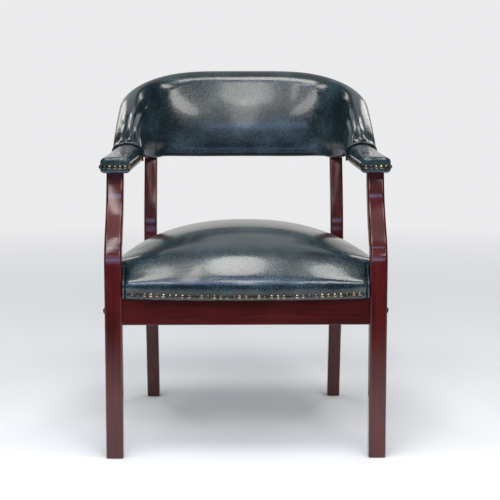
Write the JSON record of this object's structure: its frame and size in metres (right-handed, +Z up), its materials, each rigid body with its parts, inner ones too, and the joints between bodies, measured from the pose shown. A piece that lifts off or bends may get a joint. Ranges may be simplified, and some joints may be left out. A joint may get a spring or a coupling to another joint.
{
  "type": "captains chair",
  "caption": "Upholstered captain's armchair with a low padded back wrapping round the sitter, padded arms on curved posts, a crowned boxed seat and a shaped hardwood frame.",
  "frame": {"origin": "middle of the footprint's bounding box, on the floor", "axes": "+Z up, -Y toward the front, where the sitter's knees are, +X to the right as seen from the front"},
  "size_m": [0.6202, 0.6268, 0.787],
  "materials": {
    "mahogany": "gloss lacquered dark red-brown",
    "vinyl": "glossy mottled dark blue-green vinyl with a fine grain",
    "foam": "open-cell foam",
    "plywood": "bare plywood and beech",
    "cloth": "black non-woven cloth",
    "brass": "antique brass, domed nails",
    "steel": "zinc-plated",
    "nylon": "dark brown nylon"
  },
  "bodies": {
    "root": {"front_rail": "mahogany", "rear_rail": "mahogany", "front_leg_left": "mahogany", "front_leg_right": "mahogany", "rear_leg_left": "mahogany", "rear_leg_right": "mahogany", "side_rail_left": "mahogany", "side_rail_right": "mahogany", "corner_block_front_left": "mahogany", "corner_block_front_right": "mahogany", "corner_block_rear_left": "mahogany", "corner_block_rear_right": "mahogany", "bolt_cap_front_left": "mahogany", "bolt_cap_front_right": "mahogany", "bolt_cap_rear_left": "mahogany", "bolt_cap_rear_right": "mahogany", "seat_cover": "vinyl", "back_cover": "vinyl", "outside_back": "vinyl", "arm_pad_left": "vinyl", "arm_pad_right": "vinyl", "seat_welt_left": "vinyl", "seat_welt_right": "vinyl", "cuff_welt_left": "vinyl", "cuff_welt_right": "vinyl", "seat_foam": "foam", "seat_board": "plywood", "back_core": "plywood", "arm_rail_left": "plywood", "arm_rail_right": "plywood", "arm_dowel_left": "plywood", "arm_dowel_right": "plywood", "back_dowel_left": "plywood", "back_dowel_right": "plywood", "dust_cloth": "cloth", "seat_nails": "brass", "arm_nails_left": "brass", "arm_nails_right": "brass", "bolt_front_left": "steel", "bolt_front_right": "steel", "bolt_rear_left": "steel", "bolt_rear_right": "steel", "barrel_nut_front_left": "steel", "barrel_nut_front_right": "steel", "barrel_nut_rear_left": "steel", "barrel_nut_rear_right": "steel", "seat_screw_front_left": "steel", "seat_screw_front_right": "steel", "seat_screw_rear_left": "steel", "seat_screw_rear_right": "steel", "glide_front_left": "nylon", "glide_front_right": "nylon", "glide_rear_left": "nylon", "glide_rear_right": "nylon"}
  },
  "joints": []
}
